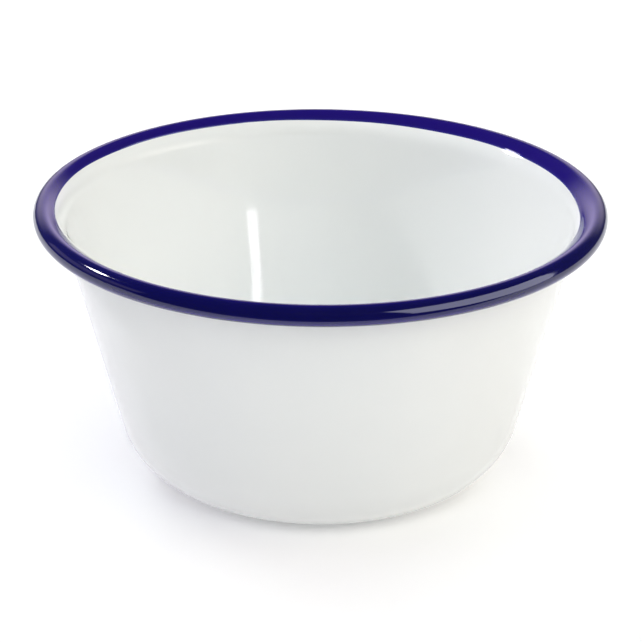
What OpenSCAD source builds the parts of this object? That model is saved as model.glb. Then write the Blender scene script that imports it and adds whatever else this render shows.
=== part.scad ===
// Enamelled steel basin bowl: a pressed sheet-steel shell with a rolled rim,
// coated all over with vitreous enamel and banded in blue round the rim.
// Lengths are in millimetres. The bowl stands on z = 0, turned about the z axis.

/* [Bowl] */
// Overall diameter, across the rolled rim
rim_d = 160; // [130:1:200]
// Overall height, from the table to the top of the rim
bowl_h = 81; // [62:1:110]
// Diameter of the base, between the ends of the corner curve
base_d = 70; // [54:1:84]
// Outside radius of the corner curve between the base and the wall
corner_r = 22.5; // [14:0.5:28]
// Width of the flat ring on which the bowl stands
foot_w = 6; // [3:0.5:12]
// How far the middle of the base is pressed up, clear of the table
base_rise = 0.8; // [0.2:0.1:2]

/* [Rim] */
// Diameter of the rolled bead, over its enamel
bead_d = 5.8; // [5:0.1:7.5]
// How far the rim stands out past the line of the wall
overhang = 6.7; // [6:0.1:9]
// Outside radius of the flare that leads the wall into the bead
flare_r = 8; // [6:0.1:11]
// Gap of the open seam between the rolled edge and the flare
seam_gap = 0.4; // [0.2:0.05:0.8]
// Width of blue enamel inside the bowl, below the start of the bead
blue_inside_w = 3; // [2:0.1:5]

/* [Sheet and enamel] */
// Thickness of the steel sheet
steel_t = 0.7; // [0.5:0.05:0.9]
// Thickness of the dark ground coat on each face of the steel
ground_t = 0.15; // [0.1:0.01:0.2]
// Thickness of the white cover coat on each face
white_t = 0.25; // [0.15:0.01:0.35]
// Thickness of the blue coat on the rim
blue_t = 0.3; // [0.15:0.01:0.4]

/* [Hidden] */

// Facets that draw each curve
turn_steps = 180;
crown_steps = 12;
corner_steps = 20;
flare_steps = 6;
bead_steps = 56;
$fn = turn_steps;

// Depths of the layers, measured into the sheet from the finished outside face
outer_ground_at = white_t;
steel_at = outer_ground_at + ground_t;
inner_ground_at = steel_at + steel_t;
cover_at = inner_ground_at + ground_t;
inside_at = cover_at + white_t;
blue_face_at = cover_at + blue_t;

// Centres of the corner curve and of the bead, as [radius, height]
bead_r = bead_d / 2;
corner_c = [base_d / 2, corner_r];
bead_c = [rim_d / 2 - bead_r, bowl_h - bead_r];

// The wall line runs from a tangent on the corner curve to this point under the rim
wall_top = [rim_d / 2 - overhang, bead_c[1]];
wall_run = wall_top - corner_c;
wall_lean = atan2(wall_run[0], wall_run[1]) - asin(corner_r / norm(wall_run));

// The flare touches the wall line at wall_lean, and the bead at bead_lean.
// Each lean is the angle of the sheet's inward face: 0 faces the axis and 90 faces up.
flare_to_bead = flare_r + blue_face_at - bead_r;
flare_reach = flare_r - (bead_c[0] - wall_top[0]) * cos(wall_lean);
bead_lean = wall_lean + acos(flare_reach / flare_to_bead);
flare_c = bead_c + flare_to_bead * [cos(bead_lean), -sin(bead_lean)];

// The bead rolls on until its enamelled edge is one seam gap short of the flare
seam_r = flare_r - seam_gap;
edge_cos = (seam_r ^ 2 - bead_r ^ 2 - flare_to_bead ^ 2) / (2 * bead_r * flare_to_bead);
blue_end = bead_lean + 360 - acos(edge_cos);

// The steel stops short of that, so that blue enamel of full thickness wraps its cut edge
steel_end = blue_end - angle_of(blue_t, bead_r);

// Blue meets white on the inside of the flare
blue_start = bead_lean - angle_of(blue_inside_w, flare_r + inside_at);

// Radius inside the standing ring, within which the base is pressed up
crown_r = base_d / 2 - foot_w;

body_leans = steps(wall_lean, blue_start, flare_steps);
band_leans = steps(blue_start, bead_lean, flare_steps);
bead_leans = steps(bead_lean, steel_end, bead_steps);

// Degrees that an arc of the given length takes at radius r
function angle_of(length, r) = length / r * 180 / PI;

// Evenly spaced values from one angle up to another, without the last
function steps(from, to, count) = [for (i = [0 : count - 1]) from + (to - from) * i / count];

function reversed(list) = [for (i = [len(list) - 1 : -1 : 0]) list[i]];

// Points at distance r from a centre, in the directions that the sheet's inward face leans
function arc(centre, r, leans) = [for (a = leans) centre + r * [-cos(a), sin(a)]];

// Height of the pressed-up base at radius r, level at the middle and at the standing ring
function crown(r) = base_rise * (1 - (r / crown_r) ^ 2) ^ 2;

// Outlines of one face of the sheet, at a given depth below the finished outside face
function base_face(depth) = concat(
    [for (i = [0 : crown_steps]) let (r = crown_r * i / crown_steps) [r, crown(r) + depth]],
    arc(corner_c, depth - corner_r, concat(steps(90, wall_lean, corner_steps), [wall_lean]))
);
function flare_face(depth, leans) = arc(flare_c, flare_r + depth, leans);
function bead_face(depth, leans) = arc(bead_c, bead_r - blue_face_at + depth, leans);

// One face of the sheet from the middle of the base to the start of the blue, to the bead
// and to the cut edge of the steel
function body_face(depth) = concat(base_face(depth), flare_face(depth, concat(body_leans, [blue_start])));
function bowl_face(depth) = concat(
    base_face(depth),
    flare_face(depth, concat(body_leans, band_leans, [bead_lean]))
);
function sheet_face(depth) = concat(
    base_face(depth),
    flare_face(depth, concat(body_leans, band_leans)),
    bead_face(depth, concat(bead_leans, [steel_end]))
);
function band_face(depth, end_leans) = concat(
    flare_face(depth, band_leans),
    bead_face(depth, concat(bead_leans, end_leans))
);

// The solid between two outlines, turned about the bowl's axis
module turned(outer, inner) {
    rotate_extrude() polygon(concat(outer, reversed(inner)));
}

// The pressed shell: base, corner, wall, flare and rolled bead from one blank
module steel_shell() {
    color("slategray") turned(sheet_face(steel_at), sheet_face(inner_ground_at));
}

// Dark base enamel on the inside face, and on round the bead to the cut edge
module inside_ground_coat() {
    color("midnightblue") turned(sheet_face(inner_ground_at), sheet_face(cover_at));
}

// Dark base enamel on the outside face, up into the seam as far as the bead
module outside_ground_coat() {
    color("midnightblue") turned(bowl_face(outer_ground_at), bowl_face(steel_at));
}

// White cover coat inside, from the base up to the blue band
module inside_white_enamel() {
    color("whitesmoke") turned(body_face(cover_at), body_face(inside_at));
}

// White cover coat outside, the face on which the bowl stands
module outside_white_enamel() {
    color("whitesmoke") turned(bowl_face(0), bowl_face(outer_ground_at));
}

// Blue coat over the bead, wrapped round the cut edge of the steel
module blue_rim_enamel() {
    edge_wrap = bead_face(steel_at, [steel_end, blue_end]);
    color("darkblue") turned(
        concat(band_face(cover_at, [steel_end]), edge_wrap),
        band_face(blue_face_at, [steel_end, blue_end])
    );
}

steel_shell();
inside_ground_coat();
outside_ground_coat();
inside_white_enamel();
outside_white_enamel();
blue_rim_enamel();
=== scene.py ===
"""Enamelled steel basin bowl with a blue rim, laid out as a Blender add-on.

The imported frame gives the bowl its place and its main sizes. The operators lay the white and
the blue enamel over the sheet, finish the layers beneath, and stand the bowl on a light table.
"""

import math
from typing import NamedTuple

import bmesh
import bpy
from bpy.props import FloatProperty, FloatVectorProperty, IntProperty, PointerProperty
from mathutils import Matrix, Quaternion, Vector


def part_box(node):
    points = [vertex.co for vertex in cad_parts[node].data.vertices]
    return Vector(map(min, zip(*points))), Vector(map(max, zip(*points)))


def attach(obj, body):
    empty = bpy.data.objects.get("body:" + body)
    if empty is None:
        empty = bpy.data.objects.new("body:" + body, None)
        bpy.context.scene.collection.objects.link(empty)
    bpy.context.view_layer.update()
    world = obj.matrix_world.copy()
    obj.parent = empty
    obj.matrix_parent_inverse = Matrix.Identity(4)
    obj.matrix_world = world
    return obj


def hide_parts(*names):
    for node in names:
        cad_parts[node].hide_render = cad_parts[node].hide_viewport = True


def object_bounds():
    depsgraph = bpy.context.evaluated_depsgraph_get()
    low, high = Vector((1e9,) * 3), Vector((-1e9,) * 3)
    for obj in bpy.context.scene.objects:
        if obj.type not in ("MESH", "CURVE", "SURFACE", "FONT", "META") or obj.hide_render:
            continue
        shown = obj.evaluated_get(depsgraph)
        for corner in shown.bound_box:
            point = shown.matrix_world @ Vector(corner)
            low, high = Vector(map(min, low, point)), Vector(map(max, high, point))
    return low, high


bl_info = {
    "name": "Enamelled Basin Bowl",
    "version": (1, 0, 0),
    "blender": (4, 5, 0),
    "location": "3D View > Sidebar > Basin Bowl",
    "description": "Lays enamel over a pressed steel bowl and stands it on a light table",
    "category": "Object",
}

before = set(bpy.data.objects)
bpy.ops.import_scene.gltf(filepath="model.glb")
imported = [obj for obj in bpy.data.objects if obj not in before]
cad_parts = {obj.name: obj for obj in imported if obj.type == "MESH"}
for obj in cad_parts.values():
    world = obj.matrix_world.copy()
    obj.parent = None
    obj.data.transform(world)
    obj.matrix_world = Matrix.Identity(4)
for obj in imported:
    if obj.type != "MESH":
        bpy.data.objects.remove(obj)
CAD_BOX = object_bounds()
BOWL_WIDTH = round(CAD_BOX[1][0] - CAD_BOX[0][0], 3)
BOWL_HEIGHT = round(CAD_BOX[1][2] - CAD_BOX[0][2], 3)

MILLIMETRE = 0.001

# Rows of the mesh along each stretch of the sheet
CROWN_ROWS = 10
FOOT_ROWS = 3
CORNER_ROWS = 24
WALL_ROWS = 20
FLARE_ROWS = 10
BEAD_ROWS = 72
TIP_ROWS = 8
LIP_ROWS = 9

# A hidden face has one row for so many rows of the face that shows
BACK_SHARE = 3

SHARP_EDGE = math.radians(50)
ON_AXIS = 1e-7

# How far a coat may end from its plain node, whose painted edge is even
LOW_SLACK = 1.0 * MILLIMETRE
HIGH_SLACK = 1.5 * MILLIMETRE

# The rounded lip along the painted edge, by distance from the edge, with its rows crowded there
LIP_REACH = 1.1 * MILLIMETRE
LIP_RISE = 0.16 * MILLIMETRE
LIP_CREST = 0.42 * MILLIMETRE
LIP_SPREAD = 0.26 * MILLIMETRE
LIP_CROWDING = 1.6
THIN_REACH = 0.22 * MILLIMETRE

# Where the blue turns deep, as angles past the top of the bead: thicker enamel there, and painted shade
# on the outer face of the bead
POOL_STARTS = -0.4
POOL_IS_FULL = 0.5
POOL_FADES = 1.5
POOL_ENDS = 2.3

# The stage: a light table in a floor, and a backdrop that rises far out on all sides
TABLE_LEFT, TABLE_RIGHT = -0.7, 0.7
TABLE_FRONT, TABLE_BACK = -0.16, 1.0
FLOOR_EDGE = 1.2
BACKDROP_STOPS = (3.0, 4.5, 6.0, 7.5, 9.0)
BACKDROP_RISES_FROM = 4.3
BACKDROP_RISE = 0.09
TABLE_WHITE = (0.94, 0.94, 0.94)
TABLE_SHADE = (0.92, 0.92, 0.925)
FAR_GLOW = 0.13
FAR_GLOW_STARTS, FAR_GLOW_IS_FULL = 0.45, 1.5

LIGHT_TARGET = Vector((0, 0, 0.06))
FLOOR_CARD_PLACE = Vector((0.0, -0.41, MILLIMETRE))
FLOOR_CARD_SIZE = (1.4, 0.5)
CAMERA_PLACE = Vector((0.0, -0.8097, 0.3852))
CAMERA_TARGET = Vector((0.00035, 0.0, 0.0442))
CAMERA_ROLL = math.radians(0.35)
SENSOR_WIDTH = 36.0

# What a light reaches when it is kept off the rest
INSIDE = ("inside_white_coat",)
OUTSIDE = ("outside_white_coat",)
WHITES = INSIDE + OUTSIDE
RIM = ("blue_rim_coat",)
STAGE = ("light_table", "floor", "backdrop")
ALL_BUT_OUTSIDE = INSIDE + RIM + STAGE


class StudioLight(NamedTuple):
    """A rectangular light: where it stands, its size, what it reaches and how it shows there."""

    name: str
    azimuth: float
    elevation: float
    size: tuple
    colour: str
    reach: tuple = ()
    distance: float = 1.5
    soft_edges: bool = False
    mirrored: bool = True
    brightens: bool = True


LIGHTS = (
    StudioLight("left_lamp", -110.5, 36.5, (0.22, 0.16), "lamp_colour", WHITES + RIM),
    StudioLight("right_panel", 70, 36, (2.0, 1.0), "panel_colour", mirrored=False),
    StudioLight("right_low_panel", 70, 20, (2.4, 0.7), "panel_colour", WHITES + STAGE, soft_edges=True),
    StudioLight("rim_panel", 66, 19, (2.0, 1.35), "rim_panel_colour", RIM, brightens=False),
    StudioLight("front_card", 12, 10, (2.4, 0.5), "fill_colour", WHITES),
    StudioLight("left_strip", -100, 15, (1.6, 0.45), "strip_colour"),
    StudioLight("back_strip", 180, 15, (3.4, 1.3), "strip_colour", ALL_BUT_OUTSIDE, 1.8, soft_edges=True),
    StudioLight("left_fill", -100, 15, (1.6, 0.45), "strip_colour", mirrored=False),
    StudioLight("front_fill", 0, 42, (1.2, 0.8), "fill_colour", mirrored=False),
    StudioLight("top_fill", 0, 90, (1.2, 1.2), "fill_colour", mirrored=False),
    StudioLight("inside_fill", 10, 55, (1.2, 0.8), "fill_colour", INSIDE, mirrored=False),
    StudioLight("back_left_fill", -140, 40, (1.0, 0.6), "fill_colour", ALL_BUT_OUTSIDE, mirrored=False),
    StudioLight("back_right_fill", 140, 40, (1.0, 0.6), "fill_colour", ALL_BUT_OUTSIDE, mirrored=False),
)


class BowlSizes(bpy.types.PropertyGroup):
    """Sizes of the pressed bowl and of its coats."""

    rim_diameter: FloatProperty(
        name="Rim diameter",
        description="Overall diameter across the rolled rim",
        default=BOWL_WIDTH,
        unit="LENGTH",
        precision=4,
    )
    height: FloatProperty(
        name="Height",
        description="Overall height from the table to the top of the rim",
        default=BOWL_HEIGHT,
        unit="LENGTH",
        precision=4,
    )
    base_diameter: FloatProperty(
        name="Base diameter",
        description="Diameter of the base between the ends of the corner curve",
        default=0.070,
        unit="LENGTH",
        precision=4,
    )
    corner_radius: FloatProperty(
        name="Corner radius",
        description="Outside radius of the curve between the base and the wall",
        default=0.0225,
        unit="LENGTH",
        precision=4,
    )
    foot_width: FloatProperty(
        name="Standing ring width",
        description="Width of the flat ring on which the bowl stands",
        default=0.006,
        unit="LENGTH",
        precision=4,
    )
    base_rise: FloatProperty(
        name="Base rise",
        description="How far the middle of the base is pressed up",
        default=0.0008,
        unit="LENGTH",
        precision=5,
    )
    bead_diameter: FloatProperty(
        name="Bead diameter",
        description="Diameter of the rolled bead over its enamel",
        default=0.0058,
        unit="LENGTH",
        precision=5,
    )
    overhang: FloatProperty(
        name="Overhang",
        description="How far the rim stands out past the line of the wall",
        default=0.0067,
        unit="LENGTH",
        precision=5,
    )
    flare_radius: FloatProperty(
        name="Flare radius",
        description="Outside radius of the flare that leads the wall into the bead",
        default=0.008,
        unit="LENGTH",
        precision=5,
    )
    seam_gap: FloatProperty(
        name="Seam gap",
        description="Gap of the open seam between the rolled edge and the flare",
        default=0.0004,
        unit="LENGTH",
        precision=5,
    )
    steel_thickness: FloatProperty(
        name="Steel thickness",
        description="Thickness of the pressed sheet",
        default=0.0007,
        unit="LENGTH",
        precision=5,
    )
    ground_thickness: FloatProperty(
        name="Ground coat thickness",
        description="Thickness of the dark coat on each face of the steel",
        default=0.00015,
        unit="LENGTH",
        precision=5,
    )
    white_thickness: FloatProperty(
        name="White coat thickness",
        description="Thickness of the white enamel on each face",
        default=0.00025,
        unit="LENGTH",
        precision=5,
    )
    blue_thickness: FloatProperty(
        name="Blue coat thickness",
        description="Thickness of the blue enamel on the rim",
        default=0.0003,
        unit="LENGTH",
        precision=5,
    )
    band_width: FloatProperty(
        name="Blue band width",
        description="Mean width of the blue inside the bowl, below the bead",
        default=0.0035,
        unit="LENGTH",
        precision=5,
    )
    band_sway: FloatProperty(
        name="Blue band sway",
        description="How much wider the hand-dipped band runs on one side than on the mean",
        default=0.00105,
        unit="LENGTH",
        precision=5,
    )
    lip_height: FloatProperty(
        name="Lip height",
        description="Height of the rounded lip along the painted edge of the blue",
        default=0.00006,
        unit="LENGTH",
        precision=6,
    )
    ripple: FloatProperty(
        name="Enamel ripple",
        description="Height of the slow waves that the fired enamel keeps",
        default=0.000014,
        unit="LENGTH",
        precision=6,
    )
    columns: IntProperty(
        name="Columns",
        description="Columns of the mesh round the bowl",
        default=256,
        min=48,
        max=720,
    )


class BowlColours(bpy.types.PropertyGroup):
    """Colours of the enamels and of the steel beneath them."""

    white: FloatVectorProperty(
        name="White",
        description="Main colour of the white enamel",
        subtype="COLOR",
        default=(0.795, 0.808, 0.798),
    )
    white_shade: FloatVectorProperty(
        name="White shade",
        description="Cooler shade that clouds the white enamel",
        subtype="COLOR",
        default=(0.77, 0.788, 0.783),
    )
    blue: FloatVectorProperty(
        name="Blue",
        description="Main colour of the blue enamel",
        subtype="COLOR",
        default=(0.0095, 0.002, 0.15),
    )
    # Deep blue for the outer face of the bead: partly thicker enamel, partly painted shade
    blue_deep: FloatVectorProperty(
        name="Deep blue",
        description="Shade of the blue where it hangs thick on the outside of the bead",
        subtype="COLOR",
        default=(0.0006, 0.0004, 0.072),
    )
    blue_thin: FloatVectorProperty(
        name="Thin blue",
        description="Shade of the blue where it thins at the painted edge",
        subtype="COLOR",
        default=(0.06, 0.06, 0.36),
    )
    ground: FloatVectorProperty(
        name="Ground coat",
        description="Colour of the dark enamel next to the steel",
        subtype="COLOR",
        default=(0.006, 0.007, 0.014),
    )
    steel: FloatVectorProperty(
        name="Steel",
        description="Colour of the pickled steel sheet",
        subtype="COLOR",
        default=(0.36, 0.37, 0.39),
    )


class StudioSettings(bpy.types.PropertyGroup):
    """Lights, table and camera."""

    left_lamp_power: FloatProperty(
        name="Lamp power",
        description="Power of the small lamp at the left",
        default=1.13,
        unit="POWER",
    )
    right_panel_power: FloatProperty(
        name="Panel power",
        description="Power of the wide soft panel at the right",
        default=1.15,
        unit="POWER",
    )
    right_low_panel_power: FloatProperty(
        name="Low panel power",
        description="Power of the low panel at the right that fades at its edges",
        default=1.4,
        unit="POWER",
    )
    rim_panel_power: FloatProperty(
        name="Rim panel power",
        description="Power of the crisp panel that the blue rim mirrors",
        default=3.6,
        unit="POWER",
    )
    front_card_power: FloatProperty(
        name="Front card power",
        description="Power of the low card in front of the bowl",
        default=0.22,
        unit="POWER",
    )
    floor_card_power: FloatProperty(
        name="Floor card power",
        description="Power of the card that lies in front of the bowl, for its outside to mirror",
        default=0.26,
        unit="POWER",
    )
    left_strip_power: FloatProperty(
        name="Left strip power",
        description="Power of the low strip at the left",
        default=0.11,
        unit="POWER",
    )
    back_strip_power: FloatProperty(
        name="Back strip power",
        description="Power of the wide strip behind the bowl that fades at its edges",
        default=2.5,
        unit="POWER",
    )
    front_fill_power: FloatProperty(
        name="Front fill power",
        description="Power of the fill above the camera",
        default=0.85,
        unit="POWER",
    )
    left_fill_power: FloatProperty(
        name="Left fill power",
        description="Power of the low fill at the left",
        default=0.77,
        unit="POWER",
    )
    back_left_fill_power: FloatProperty(
        name="Back left fill power",
        description="Power of the fill behind the bowl at the left",
        default=1.1,
        unit="POWER",
    )
    back_right_fill_power: FloatProperty(
        name="Back right fill power",
        description="Power of the fill behind the bowl at the right",
        default=0.5,
        unit="POWER",
    )
    top_fill_power: FloatProperty(
        name="Top fill power",
        description="Power of the fill over the bowl",
        default=0.82,
        unit="POWER",
    )
    inside_fill_power: FloatProperty(
        name="Inside fill power",
        description="Power of the fill into the mouth of the bowl",
        default=0.36,
        unit="POWER",
    )
    lamp_colour: FloatVectorProperty(
        name="Lamp colour",
        description="Colour of the small lamp",
        subtype="COLOR",
        default=(1.0, 0.96, 1.0),
    )
    panel_colour: FloatVectorProperty(
        name="Panel colour",
        description="Colour of the panels at the right",
        subtype="COLOR",
        default=(1.0, 0.92, 0.8),
    )
    rim_panel_colour: FloatVectorProperty(
        name="Rim panel colour",
        description="Colour of the crisp panel that the blue rim mirrors",
        subtype="COLOR",
        default=(0.86, 0.87, 1.0),
    )
    strip_colour: FloatVectorProperty(
        name="Strip colour",
        description="Colour of the strips",
        subtype="COLOR",
        default=(0.88, 0.76, 1.0),
    )
    fill_colour: FloatVectorProperty(
        name="Fill colour",
        description="Colour of the fills",
        subtype="COLOR",
        default=(0.93, 0.97, 0.98),
    )
    table_glow: FloatProperty(
        name="Table glow",
        description="Strength of the light that comes up through the milky table near the bowl",
        default=0.024,
    )
    room_light: FloatProperty(
        name="Room light",
        description="Strength of the dim room round the stage",
        default=0.01,
    )
    exposure: FloatProperty(
        name="Exposure",
        description="Stops by which the picture is brightened",
        default=3.0,
    )
    lens: FloatProperty(
        name="Lens",
        description="Focal length of the camera in millimetres",
        default=173.8,
    )


class SheetProfile:
    """The outline of the sheet, turned about the bowl's axis.

    A place on it is a lean and a depth. The lean is the angle of the sheet's inward face, where
    zero faces the axis and a right angle faces up. The depth runs in from the finished outside.
    """

    def __init__(self, sizes):
        self.outer_ground = sizes.white_thickness
        self.steel = self.outer_ground + sizes.ground_thickness
        self.inner_ground = self.steel + sizes.steel_thickness
        self.cover = self.inner_ground + sizes.ground_thickness
        self.inside = self.cover + sizes.white_thickness
        self.blue_face = self.cover + sizes.blue_thickness

        rim_radius = sizes.rim_diameter / 2
        self.base_rise = sizes.base_rise
        self.base_radius = sizes.base_diameter / 2
        self.crown_radius = self.base_radius - sizes.foot_width
        self.corner_radius = sizes.corner_radius
        self.flare_radius = sizes.flare_radius
        self.bead_radius = sizes.bead_diameter / 2
        self.corner_centre = Vector((self.base_radius, self.corner_radius))
        self.bead_centre = Vector((rim_radius - self.bead_radius, sizes.height - self.bead_radius))

        wall_top = Vector((rim_radius - sizes.overhang, self.bead_centre.y))
        wall_run = wall_top - self.corner_centre
        turned_in = math.asin(self.corner_radius / wall_run.length)
        self.wall_lean = math.atan2(wall_run.x, wall_run.y) - turned_in

        flare_to_bead = self.flare_radius + self.blue_face - self.bead_radius
        bead_offset = self.bead_centre.x - wall_top.x
        flare_reach = self.flare_radius - bead_offset * math.cos(self.wall_lean)
        self.bead_lean = self.wall_lean + math.acos(flare_reach / flare_to_bead)
        flare_way = Vector((math.cos(self.bead_lean), -math.sin(self.bead_lean)))
        self.flare_centre = self.bead_centre + flare_to_bead * flare_way

        seam_radius = self.flare_radius - sizes.seam_gap
        edge_cosine = seam_radius ** 2 - self.bead_radius ** 2 - flare_to_bead ** 2
        edge_cosine = edge_cosine / (2 * self.bead_radius * flare_to_bead)
        self.blue_end = self.bead_lean + math.tau - math.acos(edge_cosine)
        self.steel_end = self.blue_end - sizes.blue_thickness / self.bead_radius

    def on_arc(self, centre, radius, lean):
        return centre + radius * Vector((-math.cos(lean), math.sin(lean)))

    def base(self, radius, depth):
        share = min(radius / self.crown_radius, 1.0)
        return Vector((radius, self.base_rise * (1 - share ** 2) ** 2 + depth))

    def corner(self, lean, depth):
        return self.on_arc(self.corner_centre, depth - self.corner_radius, lean)

    def wall(self, share, depth):
        foot = self.corner(self.wall_lean, depth)
        return foot.lerp(self.flare(self.wall_lean, depth), share)

    def flare(self, lean, depth):
        return self.on_arc(self.flare_centre, self.flare_radius + depth, lean)

    def bead(self, lean, depth):
        return self.on_arc(self.bead_centre, self.bead_radius - self.blue_face + depth, lean)


def even_steps(first, last, count):
    """Evenly spaced values from first to last, both included."""
    return [first + (last - first) * step / count for step in range(count + 1)]


def ease(value, start, end):
    """Smooth step from 0 at the start to 1 at the end."""
    share = min(max((value - start) / (end - start), 0.0), 1.0)
    return share * share * (3 - 2 * share)


def slow_wave(turn, run):
    """Waves of about one unit that the enamel keeps, by angle and by length along the sheet."""
    wave = 0.5 * math.sin(7 * turn + 55 * run + 0.4)
    wave += 0.4 * math.sin(11 * turn - 95 * run + 2.1)
    wave += 0.3 * math.sin(4 * turn + 160 * run + 4.0)
    return wave


def band_width_at(sizes, turn):
    """Width of the blue inside the bowl at an angle round it, uneven as hand dipping leaves it."""
    sway = sizes.band_sway
    width = sizes.band_width + sway * math.cos(turn + math.radians(25))
    width += 0.14 * sway * math.cos(3 * turn + 0.6)
    width += 0.09 * sway * math.sin(5 * turn + 1.9)
    width += 0.05 * sway * math.sin(13 * turn + 0.3)
    return width


def band_lean_at(sizes, profile, turn):
    """Lean at which the white gives way to the blue on the inside of the flare."""
    return profile.bead_lean - band_width_at(sizes, turn) / (profile.flare_radius + profile.inside)


def body_face(profile, depth, edge_lean, share=1):
    """One face of a coat from the middle of the base up to a lean on the flare."""
    points = []
    for radius in even_steps(0, profile.crown_radius, CROWN_ROWS // share):
        points.append(profile.base(radius, depth))
    for radius in even_steps(profile.crown_radius, profile.base_radius, FOOT_ROWS // share)[1:-1]:
        points.append(profile.base(radius, depth))
    for lean in even_steps(math.pi / 2, profile.wall_lean, CORNER_ROWS // share):
        points.append(profile.corner(lean, depth))
    for along in even_steps(0, 1, WALL_ROWS // share)[1:-1]:
        points.append(profile.wall(along, depth))
    for lean in even_steps(profile.wall_lean, edge_lean, FLARE_ROWS // share):
        points.append(profile.flare(lean, depth))
    return points


def rippled_face(profile, depth, edge_lean, turn, height):
    """One face of a coat with the slow waves of the fired enamel above the standing ring."""
    plain = body_face(profile, depth, edge_lean)
    lifted = body_face(profile, depth + height, edge_lean)
    foot_edge = profile.base_radius
    foot_clear = foot_edge + 0.4 * profile.corner_radius
    points = []
    run = 0.0
    for step, point in enumerate(plain):
        if step:
            run += (point - plain[step - 1]).length
        waves = ease(point.x, foot_edge, foot_clear) * slow_wave(turn, run)
        points.append(point.lerp(lifted[step], waves))
    return points


def turn_angles(columns):
    return [math.tau * column / columns for column in range(columns)]


def turned_mesh(name, outlines, closed):
    """A skin through outlines of radius and height, one for each angle round the axis."""
    angles = turn_angles(len(outlines))
    vertices = []
    grid = []
    for outline, angle in zip(outlines, angles):
        ring = []
        for row, point in enumerate(outline):
            if point.x < ON_AXIS and grid:
                ring.append(grid[0][row])
                continue
            ring.append(len(vertices))
            vertices.append((point.x * math.cos(angle), point.x * math.sin(angle), point.y))
        grid.append(ring)

    rows = len(outlines[0])
    faces = []
    for column, here in enumerate(grid):
        there = grid[(column + 1) % len(grid)]
        for row in range(rows if closed else rows - 1):
            above = (row + 1) % rows
            corners = dict.fromkeys((here[row], there[row], there[above], here[above]))
            faces.append(tuple(corners))

    mesh = bpy.data.meshes.new(name)
    mesh.from_pydata(vertices, [], faces)
    shell = bmesh.new()
    shell.from_mesh(mesh)
    bmesh.ops.recalc_face_normals(shell, faces=shell.faces)
    shell.to_mesh(mesh)
    shell.free()
    mesh.shade_smooth()
    mesh.set_sharp_from_angle(angle=SHARP_EDGE)
    return mesh, grid


def add_piece(name, mesh, material, node):
    """Put a finished coat in the scene in place of its plain node."""
    piece = bpy.data.objects.new(name, mesh)
    bpy.context.scene.collection.objects.link(piece)
    mesh.materials.append(material)
    node_low, node_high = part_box(node)
    for axis in range(3):
        low = min(vertex.co[axis] for vertex in mesh.vertices)
        high = max(vertex.co[axis] for vertex in mesh.vertices)
        if abs(low - node_low[axis]) > LOW_SLACK or abs(high - node_high[axis]) > HIGH_SLACK:
            raise RuntimeError(f"{name} doesn't fill the place of {node}")
    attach(piece, "root")
    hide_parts(node)
    return piece


def start_finish(name):
    """A new material with its shader and the bowl's own coordinates."""
    finish = bpy.data.materials.new(name)
    finish.use_nodes = True
    tree = finish.node_tree
    shader = next(node for node in tree.nodes if node.type == "BSDF_PRINCIPLED")
    place = tree.nodes.new("ShaderNodeTexCoord").outputs["Object"]
    return finish, tree, shader, place


def noise(tree, place, scale, detail):
    node = tree.nodes.new("ShaderNodeTexNoise")
    node.inputs["Scale"].default_value = scale
    node.inputs["Detail"].default_value = detail
    tree.links.new(place, node.inputs["Vector"])
    return node.outputs["Fac"]


def spread(tree, value, low, high, from_low=0.3, from_high=0.7):
    """Map a pattern's useful range on to a range of shader values."""
    node = tree.nodes.new("ShaderNodeMapRange")
    node.inputs["From Min"].default_value = from_low
    node.inputs["From Max"].default_value = from_high
    node.inputs["To Min"].default_value = low
    node.inputs["To Max"].default_value = high
    tree.links.new(value, node.inputs["Value"])
    return node.outputs["Result"]


def calculate(tree, operation, *values):
    """Work out a value from plain numbers and the results of other nodes."""
    node = tree.nodes.new("ShaderNodeMath")
    node.operation = operation
    for socket, value in zip(node.inputs, values):
        if isinstance(value, bpy.types.NodeSocket):
            tree.links.new(value, socket)
        else:
            socket.default_value = value
    return node.outputs["Value"]


def diagonal(tree, across, along):
    """How far it is to a place that is so far across and so far along."""
    across_square = calculate(tree, "MULTIPLY", across, across)
    along_square = calculate(tree, "MULTIPLY", along, along)
    return calculate(tree, "SQRT", calculate(tree, "ADD", across_square, along_square))


def mesh_value(tree, name):
    """A value that the mesh keeps at each of its points."""
    node = tree.nodes.new("ShaderNodeAttribute")
    node.attribute_name = name
    return node.outputs["Fac"]


def blend_colours(tree, share, first, second):
    """Mix two colours, each a plain colour or the result of another mix."""
    node = tree.nodes.new("ShaderNodeMix")
    node.data_type = "RGBA"
    tree.links.new(share, node.inputs["Factor"])
    colour_sockets = [socket for socket in node.inputs if socket.type == "RGBA"]
    for socket, colour in zip(colour_sockets, (first, second)):
        if isinstance(colour, bpy.types.NodeSocket):
            tree.links.new(colour, socket)
        else:
            socket.default_value = (*colour, 1.0)
    return next(socket for socket in node.outputs if socket.type == "RGBA")


def bump(tree, height, distance, under=None):
    node = tree.nodes.new("ShaderNodeBump")
    node.inputs["Distance"].default_value = distance
    node.inputs["Strength"].default_value = 1.0
    tree.links.new(height, node.inputs["Height"])
    if under is not None:
        tree.links.new(under, node.inputs["Normal"])
    return node.outputs["Normal"]


def rare_specks(tree, place, scale, size, share):
    """Small round specks in a few of the cells of a scattered pattern."""
    cells = tree.nodes.new("ShaderNodeTexVoronoi")
    cells.inputs["Scale"].default_value = scale
    tree.links.new(place, cells.inputs["Vector"])
    chosen = tree.nodes.new("ShaderNodeSeparateColor")
    tree.links.new(cells.outputs["Color"], chosen.inputs["Color"])
    in_cell = calculate(tree, "LESS_THAN", chosen.outputs["Red"], share)
    reach = size * scale
    round_speck = spread(tree, cells.outputs["Distance"], 1.0, 0.0, 0.4 * reach, reach)
    return calculate(tree, "MULTIPLY", in_cell, round_speck)


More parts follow.
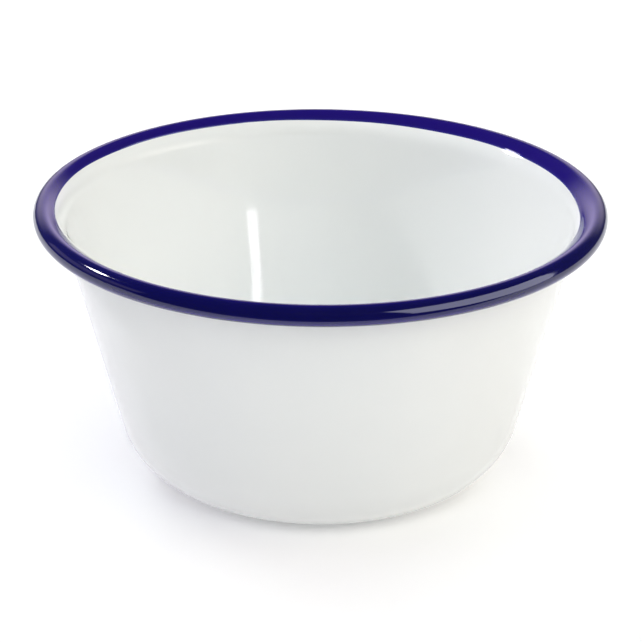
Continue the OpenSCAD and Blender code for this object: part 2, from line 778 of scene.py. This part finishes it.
def firing_marks(tree, place, ring_radius, size):
    """Three small round marks on the standing ring, left by the points it was fired on."""
    parts = tree.nodes.new("ShaderNodeSeparateXYZ")
    tree.links.new(place, parts.inputs["Vector"])
    radius = diagonal(tree, parts.outputs["X"], parts.outputs["Y"])
    angle = calculate(tree, "ARCTAN2", parts.outputs["Y"], parts.outputs["X"])
    half_third = math.tau / 6
    folded = calculate(tree, "ABSOLUTE", calculate(tree, "WRAP", angle, half_third, -half_third))
    sideways = calculate(tree, "MULTIPLY", folded, ring_radius)
    outwards = calculate(tree, "SUBTRACT", radius, ring_radius)
    low_down = calculate(tree, "LESS_THAN", parts.outputs["Z"], 0.5 * MILLIMETRE)
    mark = spread(tree, diagonal(tree, sideways, outwards), 1.0, 0.0, 0.5 * size, size)
    return calculate(tree, "MULTIPLY", mark, low_down)


def white_enamel(name, colours, foot_radius=None):
    """Glossy white glass enamel: faint clouds, orange peel, rare specks, and marks on a foot."""
    finish, tree, shader, place = start_finish(name)
    clouds = spread(tree, noise(tree, place, scale=24, detail=3.0), 0.0, 1.0)
    colour = blend_colours(tree, clouds, colours.white, colours.white_shade)
    specks = rare_specks(tree, place, scale=70, size=0.22 * MILLIMETRE, share=0.10)
    grey_specks = calculate(tree, "MULTIPLY", specks, 0.45)
    colour = blend_colours(tree, grey_specks, colour, colours.ground)
    if foot_radius is not None:
        marks = firing_marks(tree, place, foot_radius, 1.1 * MILLIMETRE)
        dark_marks = calculate(tree, "MULTIPLY", marks, 0.8)
        colour = blend_colours(tree, dark_marks, colour, colours.ground)
    tree.links.new(colour, shader.inputs["Base Color"])
    gloss = spread(tree, noise(tree, place, scale=45, detail=2.0), 0.035, 0.065)
    tree.links.new(gloss, shader.inputs["Roughness"])
    pull = bump(tree, noise(tree, place, scale=60, detail=1.0), 0.02 * MILLIMETRE)
    peel = bump(tree, noise(tree, place, scale=330, detail=1.5), 0.005 * MILLIMETRE, pull)
    pits = bump(tree, calculate(tree, "MULTIPLY", specks, -1.0), 0.04 * MILLIMETRE, peel)
    tree.links.new(pits, shader.inputs["Normal"])
    shader.inputs["IOR"].default_value = 1.6
    return finish


def blue_enamel(colours):
    """Glossy cobalt glass enamel, deeper where it pools and with painted shade on the outer face of the
    bead, and lighter at its thin painted edge.
    """
    finish, tree, shader, place = start_finish("blue_gloss_enamel")
    uneven = spread(tree, noise(tree, place, scale=75, detail=3.0), -0.12, 0.12)
    # The deep blue on the outer face of the bead is painted shade as well as thicker enamel
    pooled = calculate(tree, "ADD", mesh_value(tree, "pooled"), uneven)
    colour = blend_colours(tree, pooled, colours.blue, colours.blue_deep)
    edge_grain = spread(tree, noise(tree, place, scale=900, detail=2.0), 0.75, 1.0)
    thin_share = calculate(tree, "MULTIPLY", mesh_value(tree, "thin_edge"), edge_grain)
    colour = blend_colours(tree, thin_share, colour, colours.blue_thin)
    specks = rare_specks(tree, place, scale=160, size=0.12 * MILLIMETRE, share=0.12)
    pale_specks = calculate(tree, "MULTIPLY", specks, 0.5)
    colour = blend_colours(tree, pale_specks, colour, colours.blue_thin)
    tree.links.new(colour, shader.inputs["Base Color"])
    gloss = spread(tree, noise(tree, place, scale=110, detail=2.0), 0.05, 0.10)
    tree.links.new(gloss, shader.inputs["Roughness"])
    pull = bump(tree, noise(tree, place, scale=130, detail=1.0), 0.025 * MILLIMETRE)
    peel = bump(tree, noise(tree, place, scale=480, detail=1.5), 0.005 * MILLIMETRE, pull)
    tree.links.new(peel, shader.inputs["Normal"])
    shader.inputs["IOR"].default_value = 1.58
    return finish


def ground_enamel(colours):
    """Blue-black ground enamel with the fine bubbles that it keeps under the cover coats."""
    finish, tree, shader, place = start_finish("dark_ground_enamel")
    bubbles = rare_specks(tree, place, scale=900, size=0.35 * MILLIMETRE, share=0.5)
    clouds = spread(tree, noise(tree, place, scale=60, detail=4.0), 0.0, 1.0)
    lighter = tuple(min(3.2 * channel, 1.0) for channel in colours.ground)
    colour = blend_colours(tree, clouds, colours.ground, lighter)
    tree.links.new(colour, shader.inputs["Base Color"])
    gloss = spread(tree, noise(tree, place, scale=150, detail=3.0), 0.16, 0.34)
    tree.links.new(gloss, shader.inputs["Roughness"])
    skin = bump(tree, noise(tree, place, scale=420, detail=2.0), 0.02 * MILLIMETRE)
    blisters = bump(tree, bubbles, 0.02 * MILLIMETRE, skin)
    tree.links.new(blisters, shader.inputs["Normal"])
    shader.inputs["IOR"].default_value = 1.52
    return finish


def drawn_steel(colours):
    """Pickled deep-drawn steel: fine lines up the wall and a matt, mottled face."""
    finish, tree, shader, place = start_finish("drawn_steel")
    squeeze = tree.nodes.new("ShaderNodeMapping")
    squeeze.inputs["Scale"].default_value = (1.0, 1.0, 0.06)
    tree.links.new(place, squeeze.inputs["Vector"])
    lines = noise(tree, squeeze.outputs["Vector"], scale=1500, detail=2.0)
    mottle = spread(tree, noise(tree, place, scale=130, detail=4.0), 0.0, 1.0)
    darker = tuple(0.72 * channel for channel in colours.steel)
    tree.links.new(blend_colours(tree, mottle, colours.steel, darker), shader.inputs["Base Color"])
    tree.links.new(spread(tree, lines, 0.32, 0.5), shader.inputs["Roughness"])
    tree.links.new(bump(tree, lines, 0.02 * MILLIMETRE), shader.inputs["Normal"])
    shader.inputs["Metallic"].default_value = 1.0
    return finish


def table_finish(glow):
    """Milky light table with a very faint unevenness, brighter far out where no lamp reaches."""
    finish, tree, shader, place = start_finish("light_table")
    clouds = spread(tree, noise(tree, place, scale=3.0, detail=2.0), 0.0, 1.0)
    colour = blend_colours(tree, clouds, TABLE_WHITE, TABLE_SHADE)
    tree.links.new(colour, shader.inputs["Base Color"])
    shader.inputs["Roughness"].default_value = 0.9
    shader.inputs["Specular IOR Level"].default_value = 0.1
    shader.inputs["Emission Color"].default_value = (1.0, 1.0, 1.0, 1.0)
    from_bowl = tree.nodes.new("ShaderNodeVectorMath")
    from_bowl.operation = "LENGTH"
    tree.links.new(place, from_bowl.inputs[0])
    distance = from_bowl.outputs["Value"]
    strength = spread(tree, distance, glow, FAR_GLOW, FAR_GLOW_STARTS, FAR_GLOW_IS_FULL)
    tree.links.new(strength, shader.inputs["Emission Strength"])
    return finish


class BOWL_OT_inside_white(bpy.types.Operator):
    """Lay the white enamel inside the bowl, up to the painted edge of the blue"""

    bl_idname = "bowl.inside_white"
    bl_label = "Inside White Enamel"

    def execute(self, context):
        sizes = context.scene.bowl_sizes
        profile = SheetProfile(sizes)
        outlines = []
        for turn in turn_angles(sizes.columns):
            edge = band_lean_at(sizes, profile, turn)
            face = rippled_face(profile, profile.inside, edge, turn, sizes.ripple)
            face[-1] = profile.flare(edge, profile.inside)
            back = body_face(profile, profile.cover, edge, BACK_SHARE)
            outlines.append(face + back[::-1])
        mesh, _ = turned_mesh("inside_white_coat", outlines, closed=False)
        finish = white_enamel("white_enamel_inside", context.scene.bowl_colours)
        add_piece("inside_white_coat", mesh, finish, "inside_white_enamel")
        return {"FINISHED"}


class BOWL_OT_outside_white(bpy.types.Operator):
    """Lay the white enamel outside the bowl, from under the base up into the seam of the bead"""

    bl_idname = "bowl.outside_white"
    bl_label = "Outside White Enamel"

    def execute(self, context):
        sizes = context.scene.bowl_sizes
        profile = SheetProfile(sizes)
        outlines = []
        for turn in turn_angles(sizes.columns):
            face = rippled_face(profile, 0.0, profile.bead_lean, turn + 1.0, sizes.ripple)
            back = body_face(profile, profile.outer_ground, profile.bead_lean, BACK_SHARE)
            outlines.append(face + back[::-1])
        mesh, _ = turned_mesh("outside_white_coat", outlines, closed=False)
        foot_radius = (profile.crown_radius + profile.base_radius) / 2
        finish = white_enamel("white_enamel_outside", context.scene.bowl_colours, foot_radius)
        add_piece("outside_white_coat", mesh, finish, "outside_white_enamel")
        return {"FINISHED"}


class BOWL_OT_blue_rim(bpy.types.Operator):
    """Lay the blue enamel over the bead, with a rounded lip along its uneven painted edge"""

    bl_idname = "bowl.blue_rim"
    bl_label = "Blue Rim Enamel"

    def lip_face(self, sizes, profile, edge):
        """From the painted edge over its lip, with the share of thin enamel at each point."""
        radius = profile.flare_radius + profile.inside
        step_up = profile.blue_face - profile.inside
        points = []
        thin = []
        for share in even_steps(0, 1, LIP_ROWS):
            along = LIP_REACH * share ** LIP_CROWDING
            rise = 1 - math.exp(-((along / LIP_RISE) ** 2))
            ridge = math.exp(-(((along - LIP_CREST) / LIP_SPREAD) ** 2))
            depth = profile.inside + rise * (step_up + ridge * sizes.lip_height)
            points.append(profile.flare(edge + along / radius, depth))
            thin.append(math.exp(-along / THIN_REACH))
        return points, thin

    def outline(self, sizes, profile, turn):
        """Over the lip and round the bead to the cut edge of the steel, and back beneath."""
        edge = band_lean_at(sizes, profile, turn)
        points, thin = self.lip_face(sizes, profile, edge)
        lip_end = edge + LIP_REACH / (profile.flare_radius + profile.inside)
        for lean in even_steps(lip_end, profile.bead_lean, FLARE_ROWS)[1:]:
            points.append(profile.flare(lean, profile.blue_face))
        for lean in even_steps(profile.bead_lean, profile.steel_end, BEAD_ROWS)[1:]:
            along = profile.bead_radius * (lean - profile.bead_lean)
            from_ends = min(lean - profile.bead_lean, profile.steel_end - lean)
            hung = slow_wave(turn, 1.5 * along) * ease(from_ends, 0, 1 / 3)
            points.append(profile.bead(lean, profile.blue_face + 0.6 * sizes.ripple * hung))
        middle = (profile.blue_face + profile.steel) / 2
        half = (profile.blue_face - profile.steel) / 2
        for swing in even_steps(0, math.pi, TIP_ROWS)[1:]:
            lean = profile.steel_end + (profile.blue_end - profile.steel_end) * math.sin(swing)
            points.append(profile.bead(lean, middle + half * math.cos(swing)))
        for lean in even_steps(profile.steel_end, profile.bead_lean, BEAD_ROWS // BACK_SHARE):
            points.append(profile.bead(lean, profile.cover))
        for lean in even_steps(profile.bead_lean, edge, FLARE_ROWS // 2)[1:]:
            points.append(profile.flare(lean, profile.cover))
        thin += [0.0] * (len(points) - len(thin))
        return points, thin

    def pooling(self, profile, points):
        """Share of deep blue at each point, most on the outside of the bead: thicker enamel and painted
        shade there.
        """
        shares = []
        for point in points:
            out = point - profile.bead_centre
            past_top = math.atan2(out.x, out.y)
            gathered = ease(past_top, POOL_STARTS, POOL_IS_FULL)
            shares.append(gathered * (1 - ease(past_top, POOL_FADES, POOL_ENDS)))
        return shares

    def execute(self, context):
        sizes = context.scene.bowl_sizes
        profile = SheetProfile(sizes)
        outlines = []
        values = {"thin_edge": [], "pooled": []}
        for turn in turn_angles(sizes.columns):
            points, thin = self.outline(sizes, profile, turn)
            outlines.append(points)
            values["thin_edge"].append(thin)
            values["pooled"].append(self.pooling(profile, points))
        mesh, grid = turned_mesh("blue_rim_coat", outlines, closed=True)
        for name, rings in values.items():
            layer = mesh.attributes.new(name, "FLOAT", "POINT")
            for ring, shares in zip(grid, rings):
                for vertex, share in zip(ring, shares):
                    layer.data[vertex].value = share
        finish = blue_enamel(context.scene.bowl_colours)
        add_piece("blue_rim_coat", mesh, finish, "blue_rim_enamel")
        return {"FINISHED"}


class BOWL_OT_ground_coats(bpy.types.Operator):
    """Finish the two dark ground coats between the steel and the cover coats"""

    bl_idname = "bowl.ground_coats"
    bl_label = "Ground Coats"

    def execute(self, context):
        finish = ground_enamel(context.scene.bowl_colours)
        for node in ("inside_ground_coat", "outside_ground_coat"):
            coat = bpy.data.objects[node]
            coat.data.materials.clear()
            coat.data.materials.append(finish)
        return {"FINISHED"}


class BOWL_OT_steel_shell(bpy.types.Operator):
    """Finish the pressed steel shell under the enamel"""

    bl_idname = "bowl.steel_shell"
    bl_label = "Steel Shell"

    def execute(self, context):
        shell = bpy.data.objects["steel_shell"]
        shell.data.materials.clear()
        shell.data.materials.append(drawn_steel(context.scene.bowl_colours))
        return {"FINISHED"}


class BOWL_OT_studio(bpy.types.Operator):
    """Stand the bowl on a light table with its lamp, soft panels and camera"""

    bl_idname = "bowl.studio"
    bl_label = "Light Table and Camera"

    def table_cells(self):
        """The cells of the stage's grid, by the sheet that each belongs to."""
        near_stops = [-stop for stop in reversed(BACKDROP_STOPS)] + [-FLOOR_EDGE]
        far_stops = [FLOOR_EDGE, *BACKDROP_STOPS]
        columns = [*near_stops, TABLE_LEFT, TABLE_RIGHT, *far_stops]
        lines = [*near_stops, TABLE_FRONT, TABLE_BACK, *far_stops]
        sheets = {name: [] for name in STAGE}
        for low, high in zip(lines, lines[1:]):
            for left, right in zip(columns, columns[1:]):
                name = "backdrop"
                if max(abs(edge) for edge in (low, high, left, right)) <= FLOOR_EDGE:
                    name = "floor"
                if (left, low) == (TABLE_LEFT, TABLE_FRONT):
                    name = "light_table"
                corners = (left, low), (right, low), (right, high), (left, high)
                sheets[name].append(corners)
        return sheets

    def backdrop_height(self, x, y):
        return BACKDROP_RISE * max(math.hypot(x, y) - BACKDROP_RISES_FROM, 0.0) ** 2

    def add_table(self, scene, glow):
        """A light table round the bowl, in a floor that runs out into a rising backdrop."""
        finish = table_finish(glow)
        for name, cells in self.table_cells().items():
            places = list(dict.fromkeys(corner for cell in cells for corner in cell))
            vertices = [(x, y, self.backdrop_height(x, y)) for x, y in places]
            faces = [[places.index(corner) for corner in cell] for cell in cells]
            mesh = bpy.data.meshes.new(name)
            mesh.from_pydata(vertices, [], faces)
            mesh.shade_smooth()
            mesh.materials.append(finish)
            sheet = bpy.data.objects.new(name, mesh)
            sheet.visible_glossy = name == "light_table"
            sheet.visible_diffuse = name != "backdrop"
            scene.collection.objects.link(sheet)

    def soften_edges(self, light):
        """Let a light fall off evenly from the middle of its face to its edges."""
        light.use_nodes = True
        tree = light.node_tree
        glow = next(node for node in tree.nodes if node.type == "EMISSION")
        place = tree.nodes.new("ShaderNodeNewGeometry").outputs["Parametric"]
        from_middle = tree.nodes.new("ShaderNodeVectorMath")
        from_middle.operation = "DISTANCE"
        from_middle.inputs[1].default_value = (0.5, 0.5, 0.0)
        tree.links.new(place, from_middle.inputs[0])
        fall_off = tree.nodes.new("ShaderNodeMapRange")
        fall_off.interpolation_type = "SMOOTHSTEP"
        fall_off.inputs["From Min"].default_value = 0.5
        fall_off.inputs["From Max"].default_value = 0.0
        tree.links.new(from_middle.outputs["Value"], fall_off.inputs["Value"])
        tree.links.new(fall_off.outputs["Result"], glow.inputs["Strength"])

    def light_only(self, light, pieces):
        """Let a light reach some pieces and nothing else."""
        lit = bpy.data.collections.new(f"{light.name}_reach")
        for piece in pieces:
            lit.objects.link(bpy.data.objects[piece])
        light.light_linking.receiver_collection = lit

    def new_light(self, scene, name, size, power, colour):
        """A rectangular light that the camera doesn't see."""
        data = bpy.data.lights.new(name, "AREA")
        data.shape = "RECTANGLE"
        data.size, data.size_y = size
        data.energy = power
        data.color = colour
        light = bpy.data.objects.new(name, data)
        light.visible_camera = False
        scene.collection.objects.link(light)
        return light

    def add_light(self, scene, plan):
        """One light, turned to the bowl's mouth. Azimuth 0 is the camera's side."""
        studio = scene.bowl_studio
        power = getattr(studio, f"{plan.name}_power")
        light = self.new_light(scene, plan.name, plan.size, power, getattr(studio, plan.colour))
        turn = math.radians(plan.azimuth)
        tilt = math.radians(plan.elevation)
        level = math.cos(tilt)
        way = Vector((math.sin(turn) * level, -math.cos(turn) * level, math.sin(tilt)))
        light.location = LIGHT_TARGET + plan.distance * way
        light.rotation_euler = (-way).to_track_quat("-Z", "Y").to_euler()
        light.visible_glossy = plan.mirrored
        light.visible_diffuse = plan.brightens
        if plan.soft_edges:
            self.soften_edges(light.data)
        if plan.reach:
            self.light_only(light, plan.reach)

    def add_floor_card(self, scene, power, colour):
        """A card on the floor in front of the bowl, which shows only in the white outside."""
        card = self.new_light(scene, "floor_card", FLOOR_CARD_SIZE, power, colour)
        card.location = FLOOR_CARD_PLACE
        card.rotation_euler = (math.pi, 0.0, 0.0)
        card.visible_diffuse = False
        self.light_only(card, OUTSIDE)

    def add_room(self, scene, strength):
        room = bpy.data.worlds.new("dim_room")
        room.use_nodes = True
        surround = next(node for node in room.node_tree.nodes if node.type == "BACKGROUND")
        surround.inputs["Color"].default_value = (1.0, 1.0, 1.0, 1.0)
        surround.inputs["Strength"].default_value = strength
        scene.world = room

    def add_camera(self, scene, lens):
        data = bpy.data.cameras.new("photo_camera")
        data.sensor_width = SENSOR_WIDTH
        data.lens = lens
        camera = bpy.data.objects.new("photo_camera", data)
        camera.location = CAMERA_PLACE
        aim = CAMERA_TARGET - CAMERA_PLACE
        camera.rotation_mode = "QUATERNION"
        camera.rotation_quaternion = aim.to_track_quat("-Z", "Y") @ Quaternion((0, 0, 1), CAMERA_ROLL)
        scene.collection.objects.link(camera)
        scene.camera = camera

    def execute(self, context):
        scene = context.scene
        studio = scene.bowl_studio
        self.add_table(scene, studio.table_glow)
        for plan in LIGHTS:
            self.add_light(scene, plan)
        self.add_floor_card(scene, studio.floor_card_power, studio.fill_colour)
        self.add_room(scene, studio.room_light)
        self.add_camera(scene, studio.lens)
        scene.view_settings.view_transform = "Standard"
        scene.view_settings.exposure = studio.exposure
        return {"FINISHED"}


class BOWL_PT_build(bpy.types.Panel):
    """The bowl's build steps, sizes and colours"""

    bl_idname = "BOWL_PT_build"
    bl_label = "Basin Bowl"
    bl_space_type = "VIEW_3D"
    bl_region_type = "UI"
    bl_category = "Basin Bowl"

    def draw(self, context):
        layout = self.layout
        for step in STEPS:
            layout.operator(step.bl_idname)
        scene = context.scene
        for group in (scene.bowl_sizes, scene.bowl_colours, scene.bowl_studio):
            column = layout.column()
            for name in group.__annotations__:
                column.prop(group, name)


STEPS = (
    BOWL_OT_steel_shell,
    BOWL_OT_ground_coats,
    BOWL_OT_inside_white,
    BOWL_OT_outside_white,
    BOWL_OT_blue_rim,
    BOWL_OT_studio,
)
CLASSES = (BowlSizes, BowlColours, StudioSettings) + STEPS + (BOWL_PT_build,)


def register():
    for kind in CLASSES:
        bpy.utils.register_class(kind)
    bpy.types.Scene.bowl_sizes = PointerProperty(type=BowlSizes)
    bpy.types.Scene.bowl_colours = PointerProperty(type=BowlColours)
    bpy.types.Scene.bowl_studio = PointerProperty(type=StudioSettings)


def unregister():
    del bpy.types.Scene.bowl_studio
    del bpy.types.Scene.bowl_colours
    del bpy.types.Scene.bowl_sizes
    for kind in reversed(CLASSES):
        bpy.utils.unregister_class(kind)


def main():
    register()
    bpy.ops.bowl.steel_shell()
    bpy.ops.bowl.ground_coats()
    bpy.ops.bowl.inside_white()
    bpy.ops.bowl.outside_white()
    bpy.ops.bowl.blue_rim()
    bpy.ops.bowl.studio()


if __name__ == "__main__":
    main()
